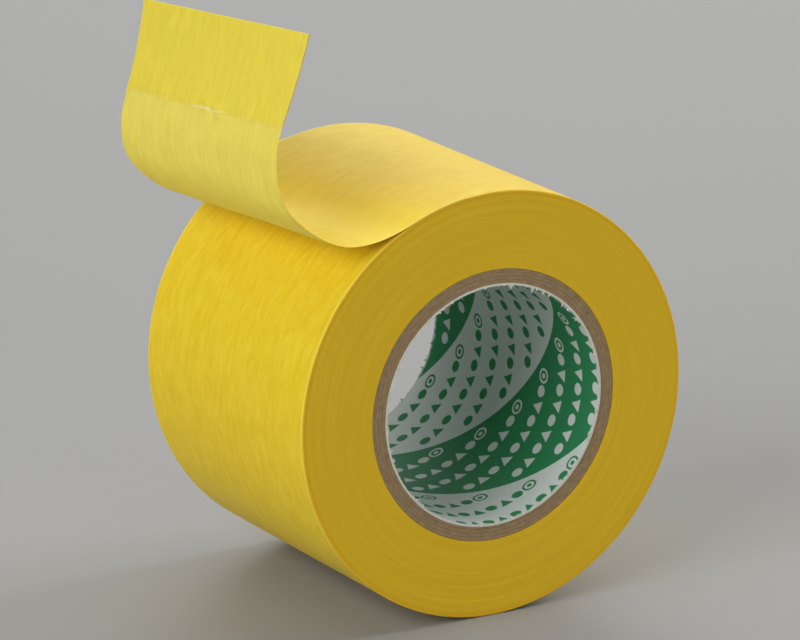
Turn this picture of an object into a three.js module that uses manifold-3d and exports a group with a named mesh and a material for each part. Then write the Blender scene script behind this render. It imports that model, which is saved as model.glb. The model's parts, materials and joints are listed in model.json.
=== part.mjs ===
// A roll of washi masking tape that stands on its rim, its free end lifted, curled back and
// folded over into a grab tab. Millimetres, +Z up. The roll's axis runs along Y. The origin is
// the point under the middle of the roll where its rim meets the table.
import * as THREE from 'three';
import { mergeVertices } from 'three/addons/utils/BufferGeometryUtils.js';
import Module from 'manifold-3d';

// Roll
const ROLL_RADIUS = 28.5;
const TAPE_WIDTH = 41.6;
const ROUND_SIDES = 72;

// Core: a printed paper liner, then spiral-wound kraft board plies
const BORE_RADIUS = 16;
const LINER_THICKNESS = 0.15;
const PLY_COUNT = 4;
const PLY_THICKNESS = 0.45;
const GLUE_LINE = 0.05;
const SPIRAL_LEAD = 78;
const SEAM_GAP = 0.3;
const SEAM_STEPS = 24;
const SEAM_TURN_PER_PLY = 100;
const LINER_SEAM_ANGLE = -29.5;

// Free end
const TAIL_THICKNESS = 0.2;
const TAIL_CLEARANCE = 0.12;
const LAP_ANGLE = 16;
const LAP_STEPS = 8;
const SEGMENT_COUNT = 3;
const STEPS_PER_SEGMENT = 6;
const FOLD_LINE_GAP = 0.3;
const TAB_LENGTH = 11.3;
const TAB_STEPS = 4;
const TAB_LAYER_GAP = 0.1;
const TAB_RATE = -0.8;
const FADE_LENGTH = 3;
const INTEGRATION_STEP = 0.02;

// How each edge of the free end runs: the angle round the roll at which it lifts off, the length
// over which the curl builds up, the curl in degrees per millimetre, the whole turn in degrees
// and the free length to the tip. It peels a little aslant, so the two edges differ.
const NEAR_EDGE = { peelAngle: 114, ramp: 6.4, rate: 4.68, turn: 136.7, length: 44.2 };
const FAR_EDGE = { peelAngle: 121, ramp: 3.8, rate: 5.62, turn: 139, length: 40.2 };

const COLOURS = { tape: 0xe6c437, tail: 0xdccc5c, tab: 0xdfcb4b, board: 0x8a7558, liner: 0xb9c8c0 };
const PAPER_ROUGHNESS = 0.85;

const HALF_WIDTH = TAPE_WIDTH / 2;
const TAIL_RADIUS = ROLL_RADIUS + TAIL_CLEARANCE + TAIL_THICKNESS / 2;

const wasm = await Module();
wasm.setup();

function material(colour) {
  return new THREE.MeshStandardMaterial({ color: colour, roughness: PAPER_ROUGHNESS, metalness: 0 });
}

function named(name, geometry, colour) {
  const mesh = new THREE.Mesh(geometry, material(colour));
  mesh.name = name;
  return mesh;
}

// A ring between two radii, round the Y axis. Its flats, not its corners, lie on the radii,
// and one flat faces straight down.
function ring(innerRadius, outerRadius) {
  const toCorner = 1 / Math.cos(Math.PI / ROUND_SIDES);
  const inner = innerRadius * toCorner;
  const outer = outerRadius * toCorner;
  const profile = [
    new THREE.Vector2(outer, -HALF_WIDTH),
    new THREE.Vector2(outer, HALF_WIDTH),
    new THREE.Vector2(inner, HALF_WIDTH),
    new THREE.Vector2(inner, -HALF_WIDTH),
    new THREE.Vector2(outer, -HALF_WIDTH),
  ];
  return new THREE.LatheGeometry(profile, ROUND_SIDES, Math.PI / ROUND_SIDES);
}

// A closed body through a row of four-cornered sections.
function loft(sections) {
  const positions = sections.flat().flatMap((corner) => corner.toArray());
  const triangles = [];
  const corners = 4;
  for (let i = 0; i + 1 < sections.length; i += 1) {
    for (let j = 0; j < corners; j += 1) {
      const a = i * corners + j;
      const b = i * corners + ((j + 1) % corners);
      triangles.push(a, b, b + corners, a, b + corners, a + corners);
    }
  }
  const last = (sections.length - 1) * corners;
  triangles.push(0, 3, 2, 0, 2, 1);
  triangles.push(last, last + 1, last + 2, last, last + 2, last + 3);
  const geometry = new THREE.BufferGeometry();
  geometry.setAttribute('position', new THREE.Float32BufferAttribute(positions, 3));
  geometry.setIndex(triangles);
  return geometry;
}

function toManifold(geometry) {
  const plain = geometry.clone();
  plain.deleteAttribute('normal');
  plain.deleteAttribute('uv');
  const merged = mergeVertices(plain);
  return new wasm.Manifold(new wasm.Mesh({
    numProp: 3,
    vertProperties: new Float32Array(merged.attributes.position.array),
    triVerts: new Uint32Array(merged.index.array),
  }));
}

function toGeometry(solid) {
  const mesh = solid.getMesh();
  const geometry = new THREE.BufferGeometry();
  geometry.setAttribute('position', new THREE.Float32BufferAttribute(mesh.vertProperties, 3));
  geometry.setIndex(new THREE.Uint32BufferAttribute(mesh.triVerts, 1));
  return geometry;
}

// The blade that parts a ply along its helical butt seam, which turns back as it runs to +Y.
function seamBlade(innerRadius, outerRadius, startAngle) {
  const margin = 0.5;
  const reach = HALF_WIDTH + margin;
  const pitchAngle = Math.atan2(SPIRAL_LEAD, 2 * Math.PI * outerRadius);
  const halfAngle = SEAM_GAP / Math.sin(pitchAngle) / outerRadius / 2;
  const sections = [];
  for (let i = 0; i <= SEAM_STEPS; i += 1) {
    const y = THREE.MathUtils.lerp(-reach, reach, i / SEAM_STEPS);
    const angle = startAngle - 2 * Math.PI * (y / SPIRAL_LEAD);
    const at = (radius, turn) => new THREE.Vector3(radius * Math.cos(turn), y, radius * Math.sin(turn));
    sections.push([
      at(innerRadius - margin, angle - halfAngle),
      at(innerRadius - margin, angle + halfAngle),
      at(outerRadius + margin, angle + halfAngle),
      at(outerRadius + margin, angle - halfAngle),
    ]);
  }
  return loft(sections);
}

// One spiral-wound ply of the core, as wide as the tape and open along its seam.
function wrappedPly(innerRadius, thickness, seamAngle) {
  const outerRadius = innerRadius + thickness;
  const tube = toManifold(ring(innerRadius, outerRadius));
  const blade = toManifold(seamBlade(innerRadius, outerRadius, THREE.MathUtils.degToRad(seamAngle)));
  return toGeometry(tube.subtract(blade));
}

function core() {
  const group = new THREE.Group();
  const liner = wrappedPly(BORE_RADIUS, LINER_THICKNESS, LINER_SEAM_ANGLE);
  group.add(named('core_liner', liner, COLOURS.liner));
  let radius = BORE_RADIUS + LINER_THICKNESS + GLUE_LINE;
  for (let i = 1; i <= PLY_COUNT; i += 1) {
    const ply = wrappedPly(radius, PLY_THICKNESS, i * SEAM_TURN_PER_PLY);
    group.add(named(`core_ply_${i}`, ply, COLOURS.board));
    radius += PLY_THICKNESS + GLUE_LINE;
  }
  return { group, outerRadius: radius };
}

// Where an edge of the free end runs: points along it with their direction, in degrees.
function traceEdge(edge, y) {
  const rampTurn = edge.rate * (edge.ramp + FADE_LENGTH) / 2;
  const fadeStart = edge.ramp + (edge.turn - rampTurn) / edge.rate;
  const curlAt = (s) => {
    if (s < edge.ramp) return edge.rate * (s / edge.ramp);
    if (s < fadeStart) return edge.rate;
    if (s < fadeStart + FADE_LENGTH) return edge.rate * (1 - (s - fadeStart) / FADE_LENGTH);
    return TAB_RATE;
  };
  const peel = THREE.MathUtils.degToRad(edge.peelAngle);
  let direction = edge.peelAngle + 90;
  const point = new THREE.Vector3(TAIL_RADIUS * Math.cos(peel), y, TAIL_RADIUS * Math.sin(peel));
  const trace = [];
  const steps = Math.round(edge.length / INTEGRATION_STEP);
  for (let i = 0; i <= steps; i += 1) {
    trace.push({ point: point.clone(), direction });
    direction -= curlAt((i + 0.5) * INTEGRATION_STEP) * INTEGRATION_STEP;
    const heading = THREE.MathUtils.degToRad(direction);
    point.x += Math.cos(heading) * INTEGRATION_STEP;
    point.z += Math.sin(heading) * INTEGRATION_STEP;
  }
  return trace;
}

// The section of the free end across the tape, at a distance along each edge. Layer 0 is the
// tape itself, and layer 1 lies on its adhesive side.
function crossSection(traces, distances, layer) {
  const lift = layer * (TAIL_THICKNESS + TAB_LAYER_GAP);
  const corners = traces.map((trace, k) => {
    const { point, direction } = trace[Math.round(distances[k] / INTEGRATION_STEP)];
    const heading = THREE.MathUtils.degToRad(direction);
    const adhesiveSide = new THREE.Vector3(-Math.sin(heading), 0, Math.cos(heading));
    const shift = (amount) => point.clone().addScaledVector(adhesiveSide, amount);
    return { outside: shift(lift - TAIL_THICKNESS / 2), inside: shift(lift + TAIL_THICKNESS / 2) };
  });
  return [corners[0].outside, corners[1].outside, corners[1].inside, corners[0].inside];
}

// A strip of the free end between two shares of the way along, kept clear of its fold lines.
function strip(traces, starts, ends, steps, layer) {
  const sections = [];
  for (let i = 0; i <= steps; i += 1) {
    const distances = starts.map((start, k) => THREE.MathUtils.lerp(
      start + FOLD_LINE_GAP / 2,
      ends[k] - FOLD_LINE_GAP / 2,
      i / steps,
    ));
    sections.push(crossSection(traces, distances, layer));
  }
  return loft(sections);
}

// The end of the stuck-down turn, from which the free end lifts off.
function lap() {
  const sections = [];
  for (let i = 0; i <= LAP_STEPS; i += 1) {
    const corners = [NEAR_EDGE, FAR_EDGE].map((edge, k) => {
      const y = k === 0 ? -HALF_WIDTH : HALF_WIDTH;
      const end = edge.peelAngle - THREE.MathUtils.radToDeg(FOLD_LINE_GAP / 2 / TAIL_RADIUS);
      const angle = THREE.MathUtils.degToRad(THREE.MathUtils.lerp(end - LAP_ANGLE, end, i / LAP_STEPS));
      const at = (radius) => new THREE.Vector3(radius * Math.cos(angle), y, radius * Math.sin(angle));
      return { outside: at(TAIL_RADIUS + TAIL_THICKNESS / 2), inside: at(TAIL_RADIUS - TAIL_THICKNESS / 2) };
    });
    sections.push([corners[0].outside, corners[1].outside, corners[1].inside, corners[0].inside]);
  }
  return loft(sections);
}

function freeEnd() {
  const group = new THREE.Group();
  const traces = [traceEdge(NEAR_EDGE, -HALF_WIDTH), traceEdge(FAR_EDGE, HALF_WIDTH)];
  const lengths = [NEAR_EDGE.length, FAR_EDGE.length];
  const curlLengths = lengths.map((length) => length - TAB_LENGTH);
  group.add(named('tail_root', lap(), COLOURS.tape));
  for (let i = 1; i <= SEGMENT_COUNT; i += 1) {
    const starts = curlLengths.map((length) => length * (i - 1) / SEGMENT_COUNT);
    const ends = curlLengths.map((length) => length * i / SEGMENT_COUNT);
    const segment = strip(traces, starts, ends, STEPS_PER_SEGMENT, 0);
    group.add(named(`tail_segment_${i}`, segment, COLOURS.tail));
  }
  group.add(named('grab_tab', strip(traces, curlLengths, lengths, TAB_STEPS, 0), COLOURS.tab));
  group.add(named('grab_tab_fold', strip(traces, curlLengths, lengths, TAB_STEPS, 1), COLOURS.tab));
  return group;
}

const roll = new THREE.Group();
roll.position.z = ROLL_RADIUS;
const { group: coreGroup, outerRadius: coreRadius } = core();
roll.add(coreGroup);
roll.add(named('wound_tape', ring(coreRadius, ROLL_RADIUS), COLOURS.tape));
roll.add(freeEnd());

const tapeRoll = new THREE.Group();
tapeRoll.add(roll);

export default tapeRoll;
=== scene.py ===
import json
import math

import bmesh
import bpy
import numpy as np
from mathutils import Matrix, Vector, noise

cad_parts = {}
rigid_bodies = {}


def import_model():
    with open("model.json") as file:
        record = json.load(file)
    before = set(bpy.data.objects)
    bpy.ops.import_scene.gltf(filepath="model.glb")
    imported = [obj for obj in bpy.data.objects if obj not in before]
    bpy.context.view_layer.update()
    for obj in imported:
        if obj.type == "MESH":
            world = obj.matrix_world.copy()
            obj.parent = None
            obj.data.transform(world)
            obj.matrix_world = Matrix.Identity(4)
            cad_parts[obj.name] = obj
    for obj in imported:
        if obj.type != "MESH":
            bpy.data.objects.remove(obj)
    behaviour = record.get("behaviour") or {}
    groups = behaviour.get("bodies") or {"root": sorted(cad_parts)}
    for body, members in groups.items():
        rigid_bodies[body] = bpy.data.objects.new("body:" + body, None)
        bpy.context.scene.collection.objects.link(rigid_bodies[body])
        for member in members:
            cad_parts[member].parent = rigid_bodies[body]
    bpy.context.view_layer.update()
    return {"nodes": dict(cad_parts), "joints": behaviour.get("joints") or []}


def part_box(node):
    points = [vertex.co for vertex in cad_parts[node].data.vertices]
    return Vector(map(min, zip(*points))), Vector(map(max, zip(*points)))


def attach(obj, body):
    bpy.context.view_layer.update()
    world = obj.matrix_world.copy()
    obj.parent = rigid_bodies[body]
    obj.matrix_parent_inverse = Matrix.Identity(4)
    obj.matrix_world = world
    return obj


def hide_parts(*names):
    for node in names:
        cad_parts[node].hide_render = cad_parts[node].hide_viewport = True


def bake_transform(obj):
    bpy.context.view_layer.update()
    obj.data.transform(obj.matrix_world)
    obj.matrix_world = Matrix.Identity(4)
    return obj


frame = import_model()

MM = 0.001

# ------------------------------------------------------------------ sizes, from the frame
tape_low, tape_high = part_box("wound_tape")
ROLL_R = (tape_high.z - tape_low.z) / 2 / MM
HALF_W = (tape_high.y - tape_low.y) / 2 / MM
CENTRE = Vector((0, 0, (tape_high.z + tape_low.z) / 2))
RING_SIDES = 72             # flats of a ring in the CAD


def radii(node):
    """The inner and outer radius of a ring-shaped CAD node, in millimetres."""
    points = np.array([v.co for v in frame["nodes"][node].data.vertices]) - np.array(CENTRE)
    r = np.hypot(points[:, 0], points[:, 2]) / MM
    flats = math.cos(math.pi / RING_SIDES)
    return r.min() * flats, r.max() * flats


BORE_R, LINER_R = radii("core_liner")
PLIES = [radii(f"core_ply_{i}") for i in range(1, 5)]

# ------------------------------------------------------------------ the tape's own sizes
PLY_T = 0.09                # the washi, thickness
SKIN = 0.03                 # the roll's surface lies this far inside the CAD radius
TAIL_R = ROLL_R + 0.22      # the radius that the free sweep starts from
LAP_ARC = 16.0              # degrees of the stuck-down turn ahead of the peel line
LAP_R = ROLL_R + 0.035      # where that turn's middle lies at the peel line
LAP_START_R = ROLL_R + 0.012    # and where it starts
LAP_EASE = 9.0              # it leaves that radius for the free sweep over this length
TAB = 11.3                  # the tab's length, from its hinge to its tip
TURNED_OVER = 12.2          # the length of the tab's folded-over layer
FOLD_R = 0.048              # the fold at the tip, to the middle of the sheet
# The two edges of the free end: the angle where each peels off the roll, the length over which
# its curl sets in, the curl in degrees per millimetre, its whole turn in degrees, and its length.
NEAR_EDGE = {"peel": 114, "ramp": 6.4, "rate": 4.68, "turn": 136.7, "length": 44.2}
FAR_EDGE = {"peel": 121, "ramp": 3.8, "rate": 5.62, "turn": 139, "length": 40.2}
TAB_RATE = -0.8             # the tab's own slight bend, in degrees per millimetre
FADE = 3.0                  # the curl fades into the tab over this length
SEGMENTS = 3                # curled strips in the CAD
BEND_SHARE = 0.45           # how much more than evenly the curl bends at its bend lines
BEND_EASE = 1.5             # that sets in, and ends, over this length
STEP = 0.02                 # of the sums along an edge
CORE_LEAD = -78.0           # the core's helix: the way along the axis in one turn


# ------------------------------------------------------------------ meshes
SHARP_ANGLE = 40


def wobble(points, scale, seed):
    """Smooth noise from -1 to 1 at points (any number of columns up to three), one per row."""
    offset = Vector((seed * 7.31, seed * 3.17, seed * 5.71))
    wide = np.zeros((len(points), 3))
    wide[:, : points.shape[1]] = points * scale
    return np.array([noise.noise(Vector(p) + offset) for p in wide])


def in_frame(points):
    """Points in millimetres about the roll's centre, as metres in the shared frame."""
    return np.asarray(points, float) * MM + np.array(CENTRE)


def make_mesh(name, points, faces, uv, period=None, attributes=None):
    """A mesh object from points in millimetres about the roll's centre, with a UV map named web.
    Where the UV map closes on itself, period is its length, and no face spans the join."""
    mesh = bpy.data.meshes.new(name)
    mesh.from_pydata(in_frame(points).tolist(), [], [list(map(int, f)) for f in faces])
    for key, values in (attributes or {}).items():
        layer = mesh.attributes.new(key, "FLOAT", "POINT")
        layer.data.foreach_set("value", np.asarray(values, np.float32).ravel())
    work = bmesh.new()
    work.from_mesh(mesh)
    bmesh.ops.recalc_face_normals(work, faces=work.faces)
    work.to_mesh(mesh)
    work.free()
    corners = np.zeros(len(mesh.loops), np.int64)
    mesh.loops.foreach_get("vertex_index", corners)
    u = np.asarray(uv, float)[corners]
    if period:
        starts = np.zeros(len(mesh.polygons), np.int64)
        totals = np.zeros(len(mesh.polygons), np.int64)
        mesh.polygons.foreach_get("loop_start", starts)
        mesh.polygons.foreach_get("loop_total", totals)
        face_of = np.repeat(np.arange(len(starts)), totals)
        order = np.concatenate([np.arange(s, s + n) for s, n in zip(starts, totals)])
        highest = np.full(len(starts), -1e9)
        np.maximum.at(highest, face_of, u[order, 0])
        lag = highest[face_of] - u[order, 0] > period / 2
        u[order[lag], 0] += period
    layer = mesh.uv_layers.new(name="web")
    layer.data.foreach_set("uv", u.astype(np.float32).ravel())
    mesh.polygons.foreach_set("use_smooth", [True] * len(mesh.polygons))
    mesh.set_sharp_from_angle(angle=math.radians(SHARP_ANGLE))
    mesh.update()
    piece = bpy.data.objects.new(name, mesh)
    bpy.context.scene.collection.objects.link(piece)
    return piece


def quads(index, close_rows=False, close_columns=False):
    """Faces over a grid of vertex numbers."""
    if close_rows:
        index = np.vstack([index, index[:1]])
    if close_columns:
        index = np.hstack([index, index[:, :1]])
    a, b = index[:-1, :-1].ravel(), index[:-1, 1:].ravel()
    c, d = index[1:, 1:].ravel(), index[1:, :-1].ravel()
    return np.stack([a, b, c, d], 1)


def on_ring(r, y, angle):
    return np.stack([r * np.cos(angle), y + 0 * angle, r * np.sin(angle)], -1)


def lathe(name, profile, across, steps, shift):
    """A closed ring, from the bottom round: profile is a closed loop of (r, y), across is each
    point's place along it, and shift says how far a point strays."""
    profile, across = np.asarray(profile, float), np.asarray(across, float)
    angle = -np.pi / 2 + np.arange(steps) * 2 * np.pi / steps
    a, r = np.meshgrid(angle, profile[:, 0], indexing="ij")
    _, y = np.meshgrid(angle, profile[:, 1], indexing="ij")
    _, v = np.meshgrid(angle, across, indexing="ij")
    dr, dy = shift(a.ravel(), r.ravel(), y.ravel())
    r, y = r + dr.reshape(r.shape), y + dy.reshape(y.shape)
    points = on_ring(r, y, a).reshape(-1, 3)
    index = np.arange(a.size).reshape(a.shape)
    uv = np.stack([a.ravel() * ROLL_R, v.ravel()], 1)
    return make_mesh(name, points, quads(index, True, True), uv, period=2 * np.pi * ROLL_R)


def near_end(y, depth):
    """1 at the end faces, 0 from this depth inwards."""
    return np.clip((np.abs(y) - (HALF_W - depth)) / depth, 0, 1)


# ------------------------------------------------------------------ the wound tape
CORE_GAP = 0.03             # between the board and the first turn of tape
RIM_FILLET = 0.16


def wound_profile():
    """The ring's section: rounded rims, and end faces finely divided for the winding ridges."""
    outer, inner = ROLL_R - SKIN, PLIES[-1][1] + CORE_GAP
    face = np.linspace(inner, outer - RIM_FILLET, 62)
    near = [(r, -HALF_W) for r in face]
    across_near = [-HALF_W - (outer - r) for r in face]
    for t in np.radians(np.linspace(0, 90, 5))[1:-1]:
        near.append((outer - RIM_FILLET + RIM_FILLET * math.sin(t),
                     -HALF_W + RIM_FILLET * (1 - math.cos(t))))
        across_near.append(-HALF_W - RIM_FILLET * (1 - t / (math.pi / 2)))
    even = HALF_W - 0.9
    flank = [-HALF_W + RIM_FILLET, *np.linspace(-even, even, 40), HALF_W - RIM_FILLET]
    middle = [(outer, y) for y in flank]
    far = [(r, -y) for r, y in reversed(near)]
    across_far = [-v for v in reversed(across_near)]
    bore = np.linspace(HALF_W, -HALF_W, 9)[1:-1]
    lining = [(inner, y) for y in bore]
    beyond = HALF_W + (outer - inner)
    across_lining = [beyond + (HALF_W - y) for y in bore]
    return near + middle + far + lining, across_near + flank + across_far + across_lining


def wound_shift(angle, r, y):
    """How far the winding strays: each few turns sit a little proud or shy at the end faces, one
    groove runs just inside each rim, and the flank waves a little."""
    end, side = near_end(y, 0.5), np.sign(y)
    about = np.stack([np.cos(angle) * 1.2, np.sin(angle) * 1.2], 1)
    rings = np.column_stack([r * 1.3 + side * 40, about])
    fine = np.column_stack([r * 5.1 + side * 90, about])
    groove_r = ROLL_R - SKIN - 0.55
    dy = 0.035 * wobble(rings, 1.0, 3) + 0.022 * wobble(fine, 1.0, 4)
    dy -= 0.03 * np.exp(-((groove_r - r) / 0.12) ** 2)
    flank = np.clip((r - (ROLL_R - 1.0)) / 1.0, 0, 1) * (1 - end)
    wave = np.column_stack([about * 2.2, y * 0.09])
    dr = flank * (0.012 * wobble(wave, 1.0, 5) - 0.012)
    return dr, side * dy * end


# ------------------------------------------------------------------ the core
def open_ring(name, inner, outer, seam, rows, columns, edge, fillet=0.06, gap=0.12):
    """A spiral-wound ply: a ring parted along a helical butt seam, and closed at both sides of it.
    seam is its angle at the middle, in degrees, and gap its width. edge roughens the ends."""
    ys = np.linspace(-HALF_W + fillet, HALF_W - fillet, rows)
    depth = np.linspace(inner + fillet, outer - fillet, 5 if outer - inner > 0.3 else 3)
    section = [(inner, y) for y in ys[::-1]] + [(r, -HALF_W) for r in depth]
    section += [(outer, y) for y in ys] + [(r, HALF_W) for r in depth[::-1]]
    section = np.array(section)
    run = np.concatenate([ys[::-1], -HALF_W - (depth - inner), ys, HALF_W + (depth[::-1] - inner)])
    t = np.linspace(0, 1, columns)
    half_gap = gap / 2 / inner
    tt, rr = np.meshgrid(t, section[:, 0], indexing="ij")
    _, yy = np.meshgrid(t, section[:, 1], indexing="ij")
    _, vv = np.meshgrid(t, run, indexing="ij")
    angle = (np.radians(seam) + 2 * np.pi * yy / CORE_LEAD
             + half_gap + tt * (2 * np.pi - 2 * half_gap))
    yy = yy + edge(angle.ravel(), rr.ravel(), yy.ravel()).reshape(yy.shape)
    points = on_ring(rr, yy, angle).reshape(-1, 3)
    index = np.arange(tt.size).reshape(tt.shape)
    faces = quads(index, False, True).tolist()
    inside = len(ys)
    outside = np.arange(inside + len(depth), 2 * inside + len(depth))
    for column in (0, columns - 1):
        line = index[column]
        lining, skin = line[:inside], line[outside][::-1]
        near, far = line[inside : inside + len(depth)], line[2 * inside + len(depth) :]
        for i in range(inside - 1):
            faces.append([lining[i], lining[i + 1], skin[i + 1], skin[i]])
        faces.append([lining[-1], *near, skin[-1]])
        faces.append([skin[0], *far, lining[0]])
    uv = np.stack([angle.ravel() * inner, vv.ravel()], 1)
    return make_mesh(name, points, faces, uv)


def board_edge(angle, r, y):
    """Kraft board is cut a little rough, and its fibres stand up."""
    about = np.column_stack([np.cos(angle) * r, np.sin(angle) * r, np.sign(y) * 9])
    rough = 0.03 * wobble(about, 0.9, 11) + 0.035 * wobble(about, 3.1, 12)
    return near_end(y, 0.4) * np.sign(y) * (rough - 0.06)


def liner_edge(angle, r, y):
    """The liner's ends are torn ragged where the tube was cut."""
    about = np.column_stack([np.cos(angle) * r, np.sin(angle) * r, np.sign(y) * 5])
    ragged = 0.10 * wobble(about, 0.8, 21) + 0.12 * wobble(about, 2.6, 22)
    return near_end(y, 1.2) * np.sign(y) * (ragged - 0.02)


def fray(name, side, steps=900):
    """Torn white fibres that stand in from the liner's end, as one ragged strip. side is -1 at the
    near end and 1 at the far one. reach is how far each fibre stands into the bore."""
    angle = np.arange(steps) * 2 * np.pi / steps
    about = np.column_stack([np.cos(angle) * BORE_R, np.sin(angle) * BORE_R,
                             np.full(steps, side * 3.0)])
    long = np.clip(0.45 + 1.1 * wobble(about, 0.5, 31), 0.06, 1)
    fine = np.clip(wobble(about, 3.3, 32) + 0.7 * wobble(about, 7.0, 33), 0, None)
    reach = 0.01 + np.minimum(1.1 * long * fine ** 1.3, 0.35 + 0.3 * long)
    lift = 0.16 * wobble(about, 3.0, 34)
    y = side * (HALF_W - 0.02)
    root_r, root_y = LINER_R + 0.10, np.full(steps, y)
    rings = [
        (root_r, root_y),
        (root_r, root_y + side * 0.05),
        (BORE_R - 0.35 * reach, y + side * (0.07 + 0.3 * lift)),
        (BORE_R - reach, y + side * (0.05 + lift)),
        (BORE_R - 0.9 * reach, y + side * (0.02 + lift)),
        (BORE_R + 0.02, y - side * 0.12 - 0.1 * side * np.abs(lift)),
    ]
    grid = np.stack([on_ring(np.broadcast_to(r, steps), h, angle) for r, h in rings], 1)
    index = np.arange(steps * len(rings)).reshape(steps, len(rings))
    across = np.broadcast_to(np.arange(len(rings)) * 0.1, (steps, len(rings)))
    uv = np.stack([np.repeat(angle * BORE_R, len(rings)), across.ravel()], 1)
    return make_mesh(name, grid.reshape(-1, 3), quads(index, True, True), uv,
                     period=2 * np.pi * BORE_R)


# ------------------------------------------------------------------ the free end
def smooth(t):
    """A soft step from 0 to 1."""
    t = np.clip(t, 0, 1)
    return t * t * (3 - 2 * t)


def sweep(peel, rate):
    """A line off the roll at the peel angle, that turns at this rate: x, z and direction."""
    direction = peel + 90 - np.concatenate([[0], np.cumsum(rate * STEP)])
    heading = np.radians(direction[1:])
    start = TAIL_R * math.cos(math.radians(peel)), TAIL_R * math.sin(math.radians(peel))
    x, z = (place + np.concatenate([[0], np.cumsum(way(heading) * STEP)])
            for place, way in zip(start, (np.cos, np.sin)))
    return np.stack([x, z, direction], 1)


def trace(edge):
    """An edge of the free end: x, z and direction in degrees at each STEP along it. The curl sets
    in, stays even, and fades into the tab."""
    ramp_turn = edge["rate"] * (edge["ramp"] + FADE) / 2
    fade_start = edge["ramp"] + (edge["turn"] - ramp_turn) / edge["rate"]
    s = (np.arange(int(round((edge["length"] + 1) / STEP))) + 0.5) * STEP
    rate = np.where(s < edge["ramp"], edge["rate"] * s / edge["ramp"], edge["rate"])
    fading = edge["rate"] * (1 - (s - fade_start) / FADE)
    rate = np.where(s >= fade_start, fading, rate)
    rate = np.where(s >= fade_start + FADE, TAB_RATE, rate)
    # The curl bends a little more at its bend lines, so that it is less wavy when it is opened.
    # What would move or turn the tip is taken out of that again.
    plain = np.column_stack([np.ones(len(s)), sweep(edge["peel"], rate)[1:, :2]])
    part = smooth((s - edge["ramp"]) / BEND_EASE) * smooth((fade_start - s) / BEND_EASE)
    beat = np.cos(2 * np.pi * s * SEGMENTS / (edge["length"] - TAB))
    fit = np.linalg.solve(plain.T @ (part[:, None] * plain), plain.T @ (part * beat))
    rate = rate + edge["rate"] * BEND_SHARE * part * (beat - plain @ fit)
    return sweep(edge["peel"], rate)


TRACES = [trace(NEAR_EDGE), trace(FAR_EDGE)]
LENGTHS = [NEAR_EDGE["length"], FAR_EDGE["length"]]
PEELS = [NEAR_EDGE["peel"], FAR_EDGE["peel"]]
CURLS = [length - TAB for length in LENGTHS]


def edge_at(k, s):
    """Point (x, z) on edge k at distance s past its peel point; behind it, on the roll."""
    on_tail = np.clip(s, 0, None)
    grid = np.arange(len(TRACES[k])) * STEP
    peel = math.radians(PEELS[k])
    lowered = (LAP_R - TAIL_R) * (1 - smooth(on_tail / LAP_EASE))
    x = np.interp(on_tail, grid, TRACES[k][:, 0]) + lowered * math.cos(peel)
    z = np.interp(on_tail, grid, TRACES[k][:, 1]) + lowered * math.sin(peel)
    back = np.clip(-s, 0, None)
    angle = peel - back / TAIL_R
    r = LAP_R + (LAP_START_R - LAP_R) * smooth(back / (math.radians(LAP_ARC) * TAIL_R))
    lap = s < 0
    return np.where(lap, r * np.cos(angle), x), np.where(lap, r * np.sin(angle), z)


# shares of the width, close together at the slit edges, where the sheet is thinner
SPREAD = np.concatenate([[0, 0.003, 0.008], np.linspace(0.015, 0.985, 95), [0.992, 0.997, 1]])
COLUMNS = len(SPREAD)
ACROSS = (2 * SPREAD - 1) * HALF_W
THINNED = 0.35 + 0.65 * smooth((HALF_W - np.abs(ACROSS)) / 0.3)
# what changes past the peel line, over a length that starts at a distance from it
RELIEF_EASE = 6.0                           # the loose relief fades in
THIN_FROM, THIN_EASE = 4.0, 13.0            # light comes through, where no roll backs it up
FREE_FROM, FREE_EASE = -8.0, 14.0           # the roll's colour turns into the free end's


def rows_between(low, high, count):
    """Shares from low to high, closer together near both ends."""
    t = np.linspace(0, 1, count)
    return low + (high - low) * (t - 0.85 * np.sin(2 * np.pi * t) / (2 * np.pi))


def middle_surface(near_s, far_s):
    """The middle of the sheet at distances along each edge: points, and their u."""
    ends, u = [], []
    for k, s in ((0, near_s), (1, far_s)):
        x, z = edge_at(k, s)
        y = np.full(len(s), (-1 if k == 0 else 1) * HALF_W)
        ends.append(np.stack([x, y, z], -1))
        u.append(math.radians(PEELS[k]) * ROLL_R + s)
    mix = SPREAD[None, :, None]
    points = ends[0][:, None] * (1 - mix) + ends[1][:, None] * mix
    along = u[0][:, None] * (1 - SPREAD) + u[1][:, None] * SPREAD
    return points, along


def relief(u, y):
    """How far the loose tape strays from its ideal sweep, in millimetres along its normal."""
    flat = np.column_stack([u.ravel() * 0.5, y.ravel()])
    soft = 0.10 * wobble(flat, 0.11, 41) + 0.035 * wobble(flat, 0.35, 42)
    return soft.reshape(u.shape)


def normals_of(points):
    along = np.gradient(points, axis=0)
    over = np.gradient(points, axis=1)
    n = np.cross(along, over)
    return n / np.linalg.norm(n, axis=-1, keepdims=True)


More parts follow.
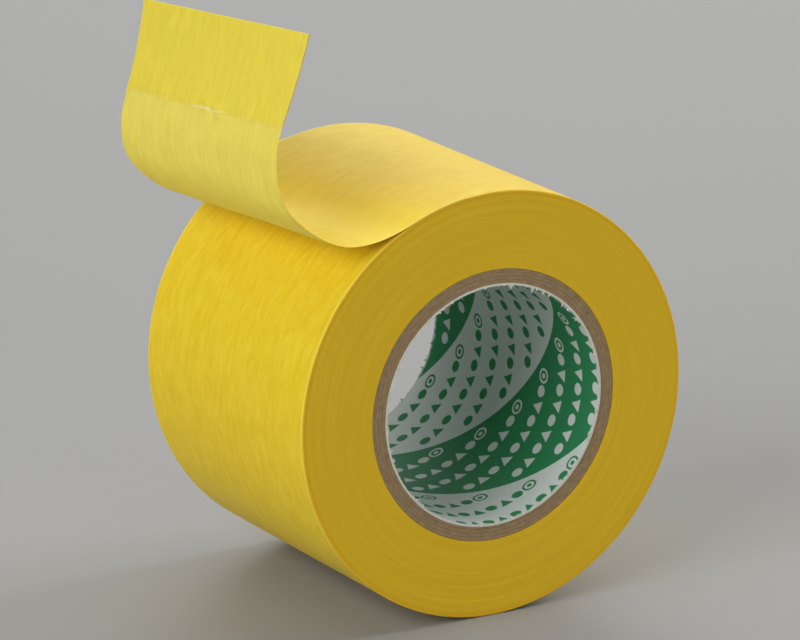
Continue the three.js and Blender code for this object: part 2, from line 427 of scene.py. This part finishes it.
def sheet_mesh(name, points, along, thin, thickness=PLY_T, doubled=0.0, rim=0.0, free=1.0):
    """A closed thin sheet about a grid of points, and its first and last line. thin is how
    see-through it is, doubled is 1 where it is folded over, rim is 1 at a torn edge, and free is 1
    where it has come off the roll. pale tells the adhesive side from the backing."""
    n = normals_of(points)
    shape = points.shape[:2]
    thick = (np.broadcast_to(thickness, shape) * THINNED)[..., None]
    adhesive, backing = points + n * thick / 2, points - n * thick / 2
    count = shape[0] * shape[1]
    top = np.arange(count).reshape(shape)
    low = top + count
    faces = quads(top).tolist() + quads(low)[:, ::-1].tolist()
    for line_top, line_low in ((top[0], low[0]), (top[-1], low[-1]),
                               (top[:, 0], low[:, 0]), (top[:, -1], low[:, -1])):
        for i in range(len(line_top) - 1):
            faces.append([line_top[i], line_top[i + 1], line_low[i + 1], line_low[i]])

    def spread(values):
        return np.broadcast_to(values, shape).ravel()

    uv = np.stack([along.ravel(), spread(ACROSS)], 1)
    attributes = {"pale": np.concatenate([np.ones(count), spread(doubled)])}
    for key, values in (("thin", thin), ("rim", rim), ("free", free)):
        attributes[key] = np.tile(spread(values), 2)
    piece = make_mesh(name, np.vstack([adhesive.reshape(-1, 3), backing.reshape(-1, 3)]), faces,
                      np.vstack([uv, uv]), attributes=attributes)
    return piece, [in_frame(np.vstack([adhesive[i], backing[i]])) for i in (0, -1)]


def bend(piece, parent, child, first, last):
    """Works out where a sheet spans the joint between two bodies, from its whole first line to its
    whole last line, and bakes the sheet's place into its mesh.
    """
    joint = next(j for j in frame["joints"] if j["parent"] == parent and j["child"] == child)
    axis = np.array(joint["axis"], float)
    axis /= np.linalg.norm(axis)
    way = last.mean(0) - first.mean(0)
    way -= axis * (way @ axis)
    way /= np.linalg.norm(way)
    low, high = (first @ way).max(), (last @ way).min()
    start = first.mean(0) + way * (low - first.mean(0) @ way)
    tuple(start + way * (high - low))
    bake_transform(piece)


def half_way(i):
    """Distance along each edge to the middle of curled segment i, counted from 1."""
    return [curl * (i - 0.5) / SEGMENTS for curl in CURLS]


def lifted(points, along):
    """The surface with its loose relief, which fades in past the peel line."""
    y = np.broadcast_to(ACROSS, along.shape)
    peel = np.interp(ACROSS, [-HALF_W, HALF_W], [math.radians(p) * ROLL_R for p in PEELS])
    fade = smooth((along - peel) / RELIEF_EASE)
    return points + normals_of(points) * (relief(along, y) * fade)[..., None]


def see_through(s):
    """How translucent the tape is at a distance past its peel line."""
    return smooth((s - THIN_FROM) / THIN_EASE)


def lap_sheet():
    """The stuck-down turn, thinned to nothing where it starts, then the first half segment."""
    arc = math.radians(LAP_ARC) * TAIL_R
    back = -arc * np.linspace(1, 0, 34)[:-1]
    front = [rows_between(0, s, 42) for s in half_way(1)]
    near_s, far_s = (np.concatenate([back, f]) for f in front)
    points, along = middle_surface(near_s, far_s)
    points = lifted(points, along)
    share = np.clip(1 + near_s / arc, 0, 1)
    thinnest = 0.004
    thickness = thinnest + (PLY_T - thinnest) * share ** 0.5
    free = smooth((near_s - FREE_FROM) / FREE_EASE)
    piece, ends = sheet_mesh("lap_sheet", points, along, see_through(near_s)[:, None],
                             thickness[:, None], free=free[:, None])
    bend(piece, "tail_root", "tail_1", in_frame(points[len(back)]), ends[1])
    (arc + sum(half_way(1)) / 2) * MM
    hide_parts("tail_root", "tail_segment_1")
    return piece


def curl_sheet(i):
    """From the middle of curled segment i to the middle of the next."""
    low, high = half_way(i), half_way(i + 1)
    near_s, far_s = (rows_between(a, b, 64) for a, b in zip(low, high))
    points, along = middle_surface(near_s, far_s)
    points = lifted(points, along)
    piece, ends = sheet_mesh(f"curl_sheet_{i}", points, along, see_through(near_s)[:, None])
    bend(piece, f"tail_{i}", f"tail_{i + 1}", *ends)
    (sum(high) - sum(low)) / 2 * MM
    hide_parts(f"tail_segment_{i + 1}")
    return piece


TAB_BLEND = 2.0             # the tab's bend ends this far past its hinge
SEATED = 0.058              # how high the turned-over layer lies at its stuck-down edge
CUT_T = 0.02                # its thickness there
CUT_EASE = 0.8              # it sinks and thins to those over this length


def tab_sheet():
    """The last half segment, then the tab, turned over at its tip and stuck to itself."""
    starts = half_way(SEGMENTS)
    up = [rows_between(a, length, 78) for a, length in zip(starts, LENGTHS)]
    flat_points, flat_along = middle_surface(*up)
    flat_n = normals_of(flat_points)
    tip, tip_n, tip_u = flat_points[-1], flat_n[-1], flat_along[-1]
    ahead = tip - flat_points[-2]
    ahead /= np.linalg.norm(ahead, axis=-1, keepdims=True)
    # the fold at the tip
    turn = np.linspace(0, np.pi, 13)[1:]
    fold = [tip + ahead * FOLD_R * math.sin(a) + tip_n * FOLD_R * (1 - math.cos(a)) for a in turn]
    fold_u = [tip_u + FOLD_R * a for a in turn]
    # the turned-over layer, down to a cut edge that is not quite straight
    place = np.column_stack([ACROSS])
    cut = TURNED_OVER + 0.40 * wobble(place, 0.17, 51) + 0.10 * wobble(place, 1.1, 52)
    shares = 1 - (1 - np.linspace(0, 1, 60)[1:]) ** 1.5
    down, down_n, down_u = [], [], []
    for share in shares:
        back = cut * share
        row, n = surface_row(LENGTHS[0] - back, LENGTHS[1] - back)
        settle = smooth((cut * (1 - share)) / CUT_EASE)[:, None]
        down.append(row + n * (SEATED + (2 * FOLD_R - SEATED) * settle))
        down_n.append(n)
        down_u.append(tip_u + FOLD_R * math.pi + back)
    down_u = np.array(down_u)
    points = np.concatenate([flat_points, np.array(fold), np.array(down)])
    along = np.concatenate([flat_along, np.array(fold_u), down_u])
    # seat is the u that lies under each point, so that both layers share one relief
    seat = np.concatenate([flat_along, np.repeat(tip_u[None], len(fold), 0),
                           2 * tip_u + FOLD_R * math.pi - down_u])
    outward = np.concatenate([flat_n, np.repeat(tip_n[None], len(fold), 0), np.array(down_n)])
    y = np.broadcast_to(ACROSS, along.shape)
    points = points + outward * (relief(seat, y) + pucker(seat, y))[..., None]
    doubled = smooth((seat - (tip_u - cut)) / 0.5 + 0.5)
    whole = np.full((len(flat_points) + len(fold), COLUMNS), TURNED_OVER)
    to_edge = np.concatenate([whole, cut * (1 - shares[:, None])])
    thickness = CUT_T + (PLY_T - CUT_T) * smooth(to_edge / CUT_EASE)
    rim = 1 - smooth((to_edge - 0.1) / 0.35)
    piece, ends = sheet_mesh("tab_sheet", points, along, 1 - 0.55 * doubled, thickness, doubled,
                             rim)
    past_hinge = [np.array([curl + TAB_BLEND]) for curl in CURLS]
    bend(piece, f"tail_{SEGMENTS}", "tab", ends[0], in_frame(middle_surface(*past_hinge)[0][0]))
    span = (sum(LENGTHS) - sum(starts)) / 2 + TURNED_OVER + FOLD_R * math.pi
    span * MM
    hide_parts("grab_tab", "grab_tab_fold")
    return piece


def surface_row(near_s, far_s):
    """A line over the sheet whose distance varies across it: points and normals."""
    little = 0.05
    rows = []
    for shift in (0.0, -little):
        x0, z0 = edge_at(0, near_s + shift)
        x1, z1 = edge_at(1, far_s + shift)
        rows.append(np.stack([x0 * (1 - SPREAD) + x1 * SPREAD, ACROSS,
                              z0 * (1 - SPREAD) + z1 * SPREAD], -1))
    along = rows[0] - rows[1]
    over = np.gradient(rows[0], axis=0)
    over -= along * (np.sum(over * along, -1) / np.sum(along * along, -1))[:, None]
    n = np.cross(along, over)
    return rows[0], n / np.linalg.norm(n, axis=-1, keepdims=True)


# The small crease on the tab's stuck-down edge, as humps and hollows: the place of each along and
# across the tape from its middle, its size both ways, and its height.
PUCKER_Y = -1.2
PUCKERS = [
    (0.1, 0.0, 0.5, 0.8, 0.42),
    (-0.3, -3.6, 0.45, 1.5, 0.30),
    (0.7, -1.9, 0.5, 0.6, 0.22),
    (0.5, 1.5, 0.5, 0.8, -0.34),
    (-0.9, -1.6, 0.5, 0.9, -0.20),
]


def pucker(u, y):
    """How far the sheet stands proud at the crease, and flutters along the stuck-down edge."""
    line = np.interp(y, [-HALF_W, HALF_W], [math.radians(p) * ROLL_R + length - TURNED_OVER
                                            for p, length in zip(PEELS, LENGTHS)])
    du, dy = u - line, y - PUCKER_Y
    proud = -0.05 * np.exp(-(du / 0.9) ** 2) * np.sin(y * 1.1)
    for at_u, at_y, size_u, size_y, height in PUCKERS:
        proud += height * np.exp(-((du - at_u) / size_u) ** 2 - ((dy - at_y) / size_y) ** 2)
    return proud


# ------------------------------------------------------------------ materials
class Num:
    """A number that varies over a surface, worked out by Math nodes."""

    def __init__(self, tree, socket):
        self.tree, self.socket = tree, socket

    def math(self, operation, *others):
        node = self.tree.nodes.new("ShaderNodeMath")
        node.operation = operation
        for i, value in enumerate((self, *others)):
            if isinstance(value, Num):
                self.tree.links.new(value.socket, node.inputs[i])
            else:
                node.inputs[i].default_value = value
        return Num(self.tree, node.outputs[0])

    def __add__(self, other):
        return self.math("ADD", other)

    def __sub__(self, other):
        return self.math("SUBTRACT", other)

    def __mul__(self, other):
        return self.math("MULTIPLY", other)

    __radd__, __rmul__ = __add__, __mul__

    def __rsub__(self, other):
        return (self * -1.0) + other

    def above(self, edge, soft):
        """0 below the edge, 1 above it, over a soft width."""
        return ((self - edge) * (1 / soft) + 0.5).clamp()

    def below(self, edge, soft):
        return 1.0 - self.above(edge, soft)

    def size(self):
        return self.math("ABSOLUTE")

    def clamp(self, low=0.0, high=1.0):
        return self.math("MAXIMUM", low).math("MINIMUM", high)


class Surface:
    """A material under construction, with the tape's web coordinates in millimetres."""

    def __init__(self, name):
        self.material = bpy.data.materials.new(name)
        self.material.use_nodes = True
        self.tree = self.material.node_tree
        self.principled = self.tree.nodes["Principled BSDF"]
        self.output = self.tree.nodes["Material Output"]
        web = self.node("ShaderNodeUVMap", uv_map="web")
        parts = self.node("ShaderNodeSeparateXYZ", web.outputs[0])
        self.u, self.v = Num(self.tree, parts.outputs[0]), Num(self.tree, parts.outputs[1])

    def node(self, kind, *inputs, **settings):
        made = self.tree.nodes.new(kind)
        for key, value in settings.items():
            setattr(made, key, value)
        for i, value in enumerate(inputs):
            self.put(value, made.inputs[i])
        return made

    def put(self, value, socket):
        """Links a Num or a socket to this socket, or sets it to a plain value."""
        if isinstance(value, Num):
            self.tree.links.new(value.socket, socket)
        elif isinstance(value, bpy.types.NodeSocket):
            self.tree.links.new(value, socket)
        else:
            socket.default_value = value

    def attribute(self, name):
        return Num(self.tree, self.node("ShaderNodeAttribute", attribute_name=name).outputs["Fac"])

    def vector(self, x, y, z=0.0):
        return self.node("ShaderNodeCombineXYZ", x, y, z).outputs[0]

    def noise(self, x, y, z=0.0, detail=2.0, roughness=0.5, distortion=0.0):
        made = self.node("ShaderNodeTexNoise", self.vector(x, y, z))
        made.inputs["Scale"].default_value = 1.0
        made.inputs["Detail"].default_value = detail
        made.inputs["Roughness"].default_value = roughness
        made.inputs["Distortion"].default_value = distortion
        return Num(self.tree, made.outputs[0])

    def mix(self, share, a, b, kind="MIX"):
        made = self.node("ShaderNodeMix", data_type="RGBA", blend_type=kind)
        for value, name in ((share, "Factor_Float"), (a, "A_Color"), (b, "B_Color")):
            socket = next(s for s in made.inputs if s.identifier == name)
            self.put((*value, 1.0) if isinstance(value, tuple) else value, socket)
        return next(s for s in made.outputs if s.identifier == "Result_Color")

    def shade(self, colour, amount):
        """The colour times a number that varies about 1."""
        grey = self.node("ShaderNodeCombineXYZ", amount, amount, amount).outputs[0]
        return self.mix(1.0, colour, grey, "MULTIPLY")

    def plain(self, **values):
        """Numbers that are the same all over, on the shader's own sockets: Name_of_socket=value."""
        for name, value in values.items():
            self.principled.inputs[name.replace("_", " ")].default_value = value

    def bump(self, height, distance, strength):
        made = self.node("ShaderNodeBump")
        made.inputs["Strength"].default_value = strength
        made.inputs["Distance"].default_value = distance
        self.put(height, made.inputs["Height"])
        self.tree.links.new(made.outputs[0], self.principled.inputs["Normal"])
        return made.outputs[0]


def linear(r, g, b):
    """An sRGB colour, 0 to 255, as a linear one."""
    out = []
    for c in (r, g, b):
        c /= 255
        out.append(c / 12.92 if c <= 0.04045 else ((c + 0.055) / 1.055) ** 2.4)
    return tuple(out)


BACKING = linear(241, 205, 24)              # the outside of the tape, on the roll
BACKING_LIGHT = linear(248, 220, 62)
END_GRAIN = linear(236, 194, 34)            # the roll's end faces
SLIT_EDGE_HIGHLIGHT = linear(255, 232, 110)           # painted highlight along the slit edges
GROOVE_SHADE = linear(236, 168, 16)             # painted shade in the groove inside the rims
LOOSE_BACKING = linear(248, 222, 32)        # the free end: its outside,
LOOSE_DOUBLE = linear(253, 231, 78)         # its adhesive side where it is doubled
LOOSE_SINGLE = linear(249, 242, 122)        # and where it is single
THROUGH = linear(248, 244, 118)             # light that comes through it
THROUGH_BACKING = linear(255, 230, 40)
STUCK_EDGE_HIGHLIGHT = linear(255, 246, 176)            # painted highlight along the tab's stuck-down edge
DUST = linear(120, 92, 30)


def washi_grain(s):
    """The paper's variation: clouds, streaks, broad streaks, hairs and grain. The hairs are lines
    where noise that leans one way or the other passes its middle."""
    u, v = s.u, s.v
    clouds = s.noise(u * 0.22, v * 0.30, 1.0, detail=3.0)
    streaks = s.noise(u * 0.16, v * 1.9, 7.0, detail=3.0, roughness=0.6, distortion=0.3)
    broad = s.noise(u * 0.30, v * 0.95, 37.0, detail=4.0, roughness=0.60, distortion=0.4)
    hairs = 0.0
    for lean, seed in ((1, 13.0), (-1, 19.0)):
        wave = s.noise(u * 0.35 + v * (0.12 * lean), v * 3.4 + u * (-0.9 * lean), seed,
                       distortion=0.4)
        hairs = (wave - 0.5).size().below(0.022, 0.03) + hairs
    patches = s.noise(u * 0.5, v * 0.6, 29.0, detail=1.0).above(0.52, 0.2)
    hairs = hairs.math("MINIMUM", 1.0) * patches
    grain = s.noise(u * 9.0, v * 11.0, 5.0)
    return clouds, streaks, broad, hairs, grain


def washi_paper(s, thin, clouds, streaks, broad, hairs, grain):
    """The colour of the tape's faces, on the roll and loose."""
    light = (clouds - 0.5) * 0.8 + (broad - 0.5) * 1.2 + (streaks - 0.5) * 0.4 + hairs * 0.35
    flank = s.mix((light + 0.22).clamp(), BACKING, BACKING_LIGHT)
    flank = s.shade(flank, 0.98 + (clouds - 0.5) * 0.06 + (broad - 0.5) * 0.18
                    + (grain - 0.5) * 0.10)
    single = (thin * 1.8 - 0.8 + (light - 0.2) * 0.5).clamp()
    adhesive = s.mix(single, LOOSE_DOUBLE, LOOSE_SINGLE)
    loose = s.mix(s.attribute("pale"), LOOSE_BACKING, adhesive)
    loose = s.shade(loose, 1.0 + (streaks - 0.5) * 0.05 + (broad - 0.5) * 0.26
                    + (grain - 0.5) * 0.10)
    paper = s.mix(s.attribute("free"), flank, loose)
    # painted highlight along the slit edges: the roll's rims and the free end's sides
    paper = s.mix(s.v.size().above(HALF_W - 0.30, 0.45) * 0.7, paper, SLIT_EDGE_HIGHLIGHT)
    # painted highlight: the stuck-down edge catches the light here and there, and most at the
    # crease
    puckered = (s.v - PUCKER_Y).size().below(3.2, 3.0)
    lift = ((broad - 0.5) * 2.4 + puckered * 0.6 + 0.2).clamp(0.08)
    paper = s.mix(s.attribute("rim") * lift, paper, STUCK_EDGE_HIGHLIGHT)
    return s.mix(washi_dust(s) * 0.6, paper, DUST)


def washi_dust(s):
    """A few specks: in a third of the cells of a pattern, at the cell's point."""
    cell = s.node("ShaderNodeTexVoronoi", s.vector(s.u, s.v, 0.5))
    cell.inputs["Scale"].default_value = 1 / 11.0
    pick = Num(s.tree, s.node("ShaderNodeSeparateXYZ", cell.outputs["Color"]).outputs[0])
    near = Num(s.tree, cell.outputs["Distance"])
    return near.below(0.013, 0.006) * pick.above(0.66, 0.01)


def washi_ends(s):
    """The colour and height of the end faces, where every turn's edge is a fine line."""
    outer = ROLL_R - SKIN
    angle = s.u * (1 / ROLL_R)
    turn_x, turn_z = angle.math("COSINE"), angle.math("SINE")
    r = (s.v.size() - HALF_W) * -1.0 + outer
    coarse = s.noise(r * 1.1, turn_x * 1.4, turn_z * 1.4, detail=1.0)
    fine = s.noise(r * 6.0, turn_x * 2.0, turn_z * 2.0, detail=3.0, roughness=0.7)
    speck = s.noise(s.u * 3.2, r * 3.2, 3.0, detail=3.0, roughness=0.7)
    grainy = 1.0 + (coarse - 0.5) * 0.10 + (fine - 0.5) * 0.12 + (speck - 0.5) * 0.18
    # painted shade: a deeper orange in the groove just inside each rim
    groove = (r - (outer - 0.45)).size().below(0.14, 0.2)
    colour = s.mix(groove * 0.5, s.shade(END_GRAIN, grainy), GROOVE_SHADE)
    return colour, fine * 1.2 + speck * 0.6


def washi():
    """Yellow washi: mottled, with fine fibres that mostly run along the tape, and translucent
    where nothing lies behind it."""
    s = Surface("washi_tape")
    thin = s.attribute("thin")
    on_end = s.v.size().above(HALF_W + 0.02, 0.06)
    clouds, streaks, broad, hairs, grain = washi_grain(s)
    paper = washi_paper(s, thin, clouds, streaks, broad, hairs, grain)
    ends, height_ends = washi_ends(s)
    s.put(s.mix(on_end, paper, ends), s.principled.inputs["Base Color"])
    s.put(streaks * 0.18 + grain * 0.1 + thin * 0.25 + 0.46, s.principled.inputs["Roughness"])
    s.plain(Specular_IOR_Level=0.24, Sheen_Weight=0.03, Sheen_Roughness=0.5)
    height = streaks * 0.45 + hairs * 0.35 + grain * 0.35
    normal = s.bump(height * (1.0 - on_end) + height_ends * on_end, 0.00003, 0.8)
    through = s.node("ShaderNodeBsdfTranslucent")
    glow = s.mix(s.attribute("pale"), THROUGH_BACKING, THROUGH)
    s.put(s.shade(glow, 0.95 + (clouds - 0.5) * 0.25 + (streaks - 0.5) * 0.22),
          through.inputs["Color"])
    s.put(normal, through.inputs["Normal"])
    blend = s.node("ShaderNodeMixShader", thin * 0.36)
    s.tree.links.new(s.principled.outputs[0], blend.inputs[1])
    s.tree.links.new(through.outputs[0], blend.inputs[2])
    s.tree.links.new(blend.outputs[0], s.output.inputs["Surface"])
    return s.material


KRAFT_DARK, KRAFT_LIGHT = linear(144, 119, 85), linear(177, 152, 117)
KRAFT_FLECK = linear(74, 56, 38)


def kraft():
    """Grey-brown kraft board, mottled, with short fibres and a few dark flecks."""
    s = Surface("kraft_board")
    u, v = s.u, s.v
    mottle = s.noise(u * 0.9, v * 0.9, 2.0, detail=4.0, roughness=0.6)
    fibre = s.noise(u * 2.2, v * 7.0, 4.0, detail=3.0, roughness=0.7, distortion=0.6)
    fleck = s.noise(u * 2.6, v * 2.6, 9.0, detail=2.0).above(0.70, 0.05)
    colour = s.mix(mottle.above(0.5, 0.5), KRAFT_DARK, KRAFT_LIGHT)
    colour = s.shade(colour, 1.0 + (fibre - 0.5) * 0.18)
    colour = s.mix(fleck * 0.5, colour, KRAFT_FLECK)
    s.put(colour, s.principled.inputs["Base Color"])
    s.plain(Roughness=0.85, Specular_IOR_Level=0.25)
    s.bump(fibre * 0.8 + mottle * 0.4, 0.00006, 0.9)
    return s.material


GREEN = linear(22, 130, 77)
PAPER_WHITE = linear(214, 221, 216)
BORE_TURN = 2 * math.pi * BORE_R
BAND_SLOPE = -CORE_LEAD / BORE_TURN     # the bands and rows follow the core's helix
BAND_START = 25.9                       # where the first green band starts, along the axis
BAND_REPEAT = 39.0                      # a green band and a white one
ROW_PITCH, FIRST_ROW = 4.2, 15.8
MARKS_ROUND = 48                        # places for a mark in one turn of a row
MARK_EDGE = 0.12                        # softness of a mark's outline


def print_marks(s):
    """1 where a printed mark is. A row repeats nine plain shapes, discs and wedges in turn, then a
    target, in twelve places."""
    row = ((s.v + FIRST_ROW) * (1 / ROW_PITCH) + 0.5).math("FLOOR")
    up = s.v - (row * ROW_PITCH - FIRST_ROW)
    step = BORE_TURN / MARKS_ROUND
    along = ((row * ROW_PITCH - FIRST_ROW) * (1 / BAND_SLOPE) + s.u
             + BAND_START / BAND_SLOPE) * (1 / step)
    place = along.math("FLOOR")
    x = (along.math("FRACT") - 0.5) * step
    slot = (place * (1 / 12)).math("FRACT") * 12.0
    is_target = slot.above(9.5, 0.01) * slot.below(10.5, 0.01)
    is_plain = slot.above(0.5, 0.01) * slot.below(9.5, 0.01)
    is_wedge = (place * 0.5).math("FRACT").below(0.25, 0.01) * is_plain
    is_disc = is_plain - is_wedge
    out = (x.math("POWER", 2.0) + up.math("POWER", 2.0)).math("SQRT")
    disc = out.below(0.80, MARK_EDGE)
    target = out.below(1.04, MARK_EDGE) * out.above(0.72, MARK_EDGE) + out.below(0.36, MARK_EDGE)
    wedge = ((x.size() + (up + 0.92) * 0.46).below(0.86, MARK_EDGE)
             * up.size().below(0.92, MARK_EDGE))
    return target * is_target + wedge * is_wedge + disc * is_disc


def printed():
    """The liner: smooth white paper printed in green bands, each with rows of plain shapes, and
    with its print torn away along its ends."""
    s = Surface("printed_liner")
    u, v = s.u, s.v
    drift = s.noise(u * 0.6, v * 0.6, 1.0, detail=3.0)
    down = v + u * BAND_SLOPE + BAND_START + (drift - 0.5) * 0.12
    share = (down * (1 / BAND_REPEAT)).math("FRACT")
    band = share.below(0.5, 0.003) * share.above(0.0015, 0.003)
    wear = s.noise(u * 1.7, v * 1.7, 8.0, detail=4.0, roughness=0.7)
    ink = (band - print_marks(s)).size() * (0.90 + wear * 0.12).math("MINIMUM", 1.0)
    ragged = s.noise(u * 0.8, v * 0.3, 5.0, detail=6.0, roughness=0.8)
    torn = (v.size() + (ragged - 0.5) * 2.0).above(HALF_W - 0.30, 0.25)
    paper = s.shade(PAPER_WHITE, 1.0 + (wear - 0.5) * 0.10)
    green = s.shade(GREEN, 1.0 + (wear - 0.5) * 0.22)
    s.put(s.mix(ink * (1.0 - torn), paper, green), s.principled.inputs["Base Color"])
    s.put(0.72 + torn * 0.2 + (wear - 0.5) * 0.15, s.principled.inputs["Roughness"])
    s.plain(Specular_IOR_Level=0.12)
    s.bump(wear * 0.6 + torn * 1.5, 0.00003, 0.7)
    return s.material


FRAY_WHITE = linear(222, 220, 204)


def torn_paper():
    """Loose white fibres."""
    s = Surface("torn_paper")
    fibre = s.noise(s.u * 3.0, s.v * 8.0, 1.0, detail=3.0, roughness=0.7)
    s.put(s.shade(FRAY_WHITE, 0.9 + fibre * 0.25), s.principled.inputs["Base Color"])
    s.plain(Roughness=0.9)
    s.bump(fibre, 0.00004, 0.8)
    return s.material


# ------------------------------------------------------------------ the pieces
web = lathe("wound_web", *wound_profile(), 300, wound_shift)
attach(web, "roll")
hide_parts("wound_tape")

PLY_SWELL = 0.015           # the plies close the CAD's glue lines
PLY_TURN = 100              # degrees from one ply's seam to the next one's
plies = []
for i, (inner, outer) in enumerate(PLIES, start=1):
    ply = open_ring(f"board_ply_{i}", inner - PLY_SWELL, outer + PLY_SWELL, i * PLY_TURN, 34, 260,
                    board_edge)
    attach(ply, "roll")
    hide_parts(f"core_ply_{i}")
    plies.append(ply)

LINER_SEAM = -29.5          # degrees, along an edge of a green band
liner = open_ring("bore_liner", BORE_R, LINER_R + 0.04, LINER_SEAM, 50, 420, liner_edge,
                  fillet=0.03, gap=0.06)
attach(liner, "roll")
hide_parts("core_liner")
frays = [fray("liner_fray_near", -1), fray("liner_fray_far", 1)]
for piece in frays:
    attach(piece, "roll")

tape_pieces = [web, lap_sheet(), curl_sheet(1), curl_sheet(2), tab_sheet()]
for group, material, slot in (
    (tape_pieces, washi(), "tape"),
    (plies, kraft(), "board"),
    ([liner], printed(), "liner"),
    (frays, torn_paper(), "liner"),
):
    for piece in group:
        piece.data.materials.append(material)

# ------------------------------------------------------------------ floor, light, camera, in metres
FLOOR_SIZE = 4.0
FLOOR_GREY = linear(157, 157, 156)
LIGHTS = {                  # place, width and height, watts, colour; each faces the roll
    "key": ((0.34, 0.42, 0.98), (2.1, 2.1), 9.3, (1.0, 0.99, 0.97)),
    "back": ((0.70, 1.40, 0.66), (1.0, 0.7), 7.2, (1, 1, 1)),
    "fill": ((-0.78, -0.235, 0.45), (0.75, 0.55), 5.7, (1, 1, 1)),
    "front": ((-0.10, -1.30, 0.25), (0.6, 0.6), 2.2, (1, 1, 1)),
    "right": ((1.10, -0.05, 0.55), (0.5, 0.5), 6.8, (1, 1, 1)),
}
WORLD_COLOUR, WORLD_STRENGTH = (0.98, 0.99, 1.0), 0.14
AZIMUTH, ELEVATION = math.radians(-30.48), math.radians(15.99)
SENSOR, LENS = 36.0, 241.5              # in millimetres, as Blender takes them
DISTANCE = 0.7089                       # from the roll's centre
ASIDE, RAISED = -0.00161, 0.00609       # off the line to it, to the right and up
CLIP = 0.01, 20


def floor():
    s = Surface("floor")
    s.plain(Base_Color=(*FLOOR_GREY, 1), Roughness=0.7, Specular_IOR_Level=0.3)
    mesh = bpy.data.meshes.new("floor")
    corners = [(x * FLOOR_SIZE, y * FLOOR_SIZE, 0) for x, y in ((-1, -1), (1, -1), (1, 1), (-1, 1))]
    mesh.from_pydata(corners, [], [(0, 1, 2, 3)])
    mesh.materials.append(s.material)
    made = bpy.data.objects.new("floor", mesh)
    bpy.context.scene.collection.objects.link(made)


def area_light(name, place, size, watts, colour):
    data = bpy.data.lights.new(name, "AREA")
    data.shape, data.size, data.size_y = "RECTANGLE", *size
    data.energy, data.color = watts, colour
    lamp = bpy.data.objects.new(name, data)
    lamp.location = place
    lamp.rotation_mode = "QUATERNION"
    lamp.rotation_quaternion = (CENTRE - Vector(place)).to_track_quat("-Z", "Y")
    bpy.context.scene.collection.objects.link(lamp)


def soft_sky():
    world = bpy.data.worlds.new("studio")
    world.use_nodes = True
    background = world.node_tree.nodes["Background"]
    background.inputs["Color"].default_value = (*WORLD_COLOUR, 1)
    background.inputs["Strength"].default_value = WORLD_STRENGTH
    bpy.context.scene.world = world


def camera():
    back = Vector((math.sin(AZIMUTH) * math.cos(ELEVATION),
                   -math.cos(AZIMUTH) * math.cos(ELEVATION), math.sin(ELEVATION)))
    right = Vector((math.cos(AZIMUTH), math.sin(AZIMUTH), 0))
    up = back.cross(right)
    data = bpy.data.cameras.new("camera")
    data.sensor_width, data.lens = SENSOR, LENS
    data.clip_start, data.clip_end = CLIP
    made = bpy.data.objects.new("camera", data)
    made.rotation_mode = "QUATERNION"
    made.rotation_quaternion = Matrix((right, up, back)).transposed().to_quaternion()
    made.location = CENTRE + back * DISTANCE + right * ASIDE + up * RAISED
    bpy.context.scene.collection.objects.link(made)
    bpy.context.scene.camera = made


floor()
for name, facts in LIGHTS.items():
    area_light(name, *facts)
soft_sky()
bpy.context.scene.view_settings.view_transform = "Standard"
camera()
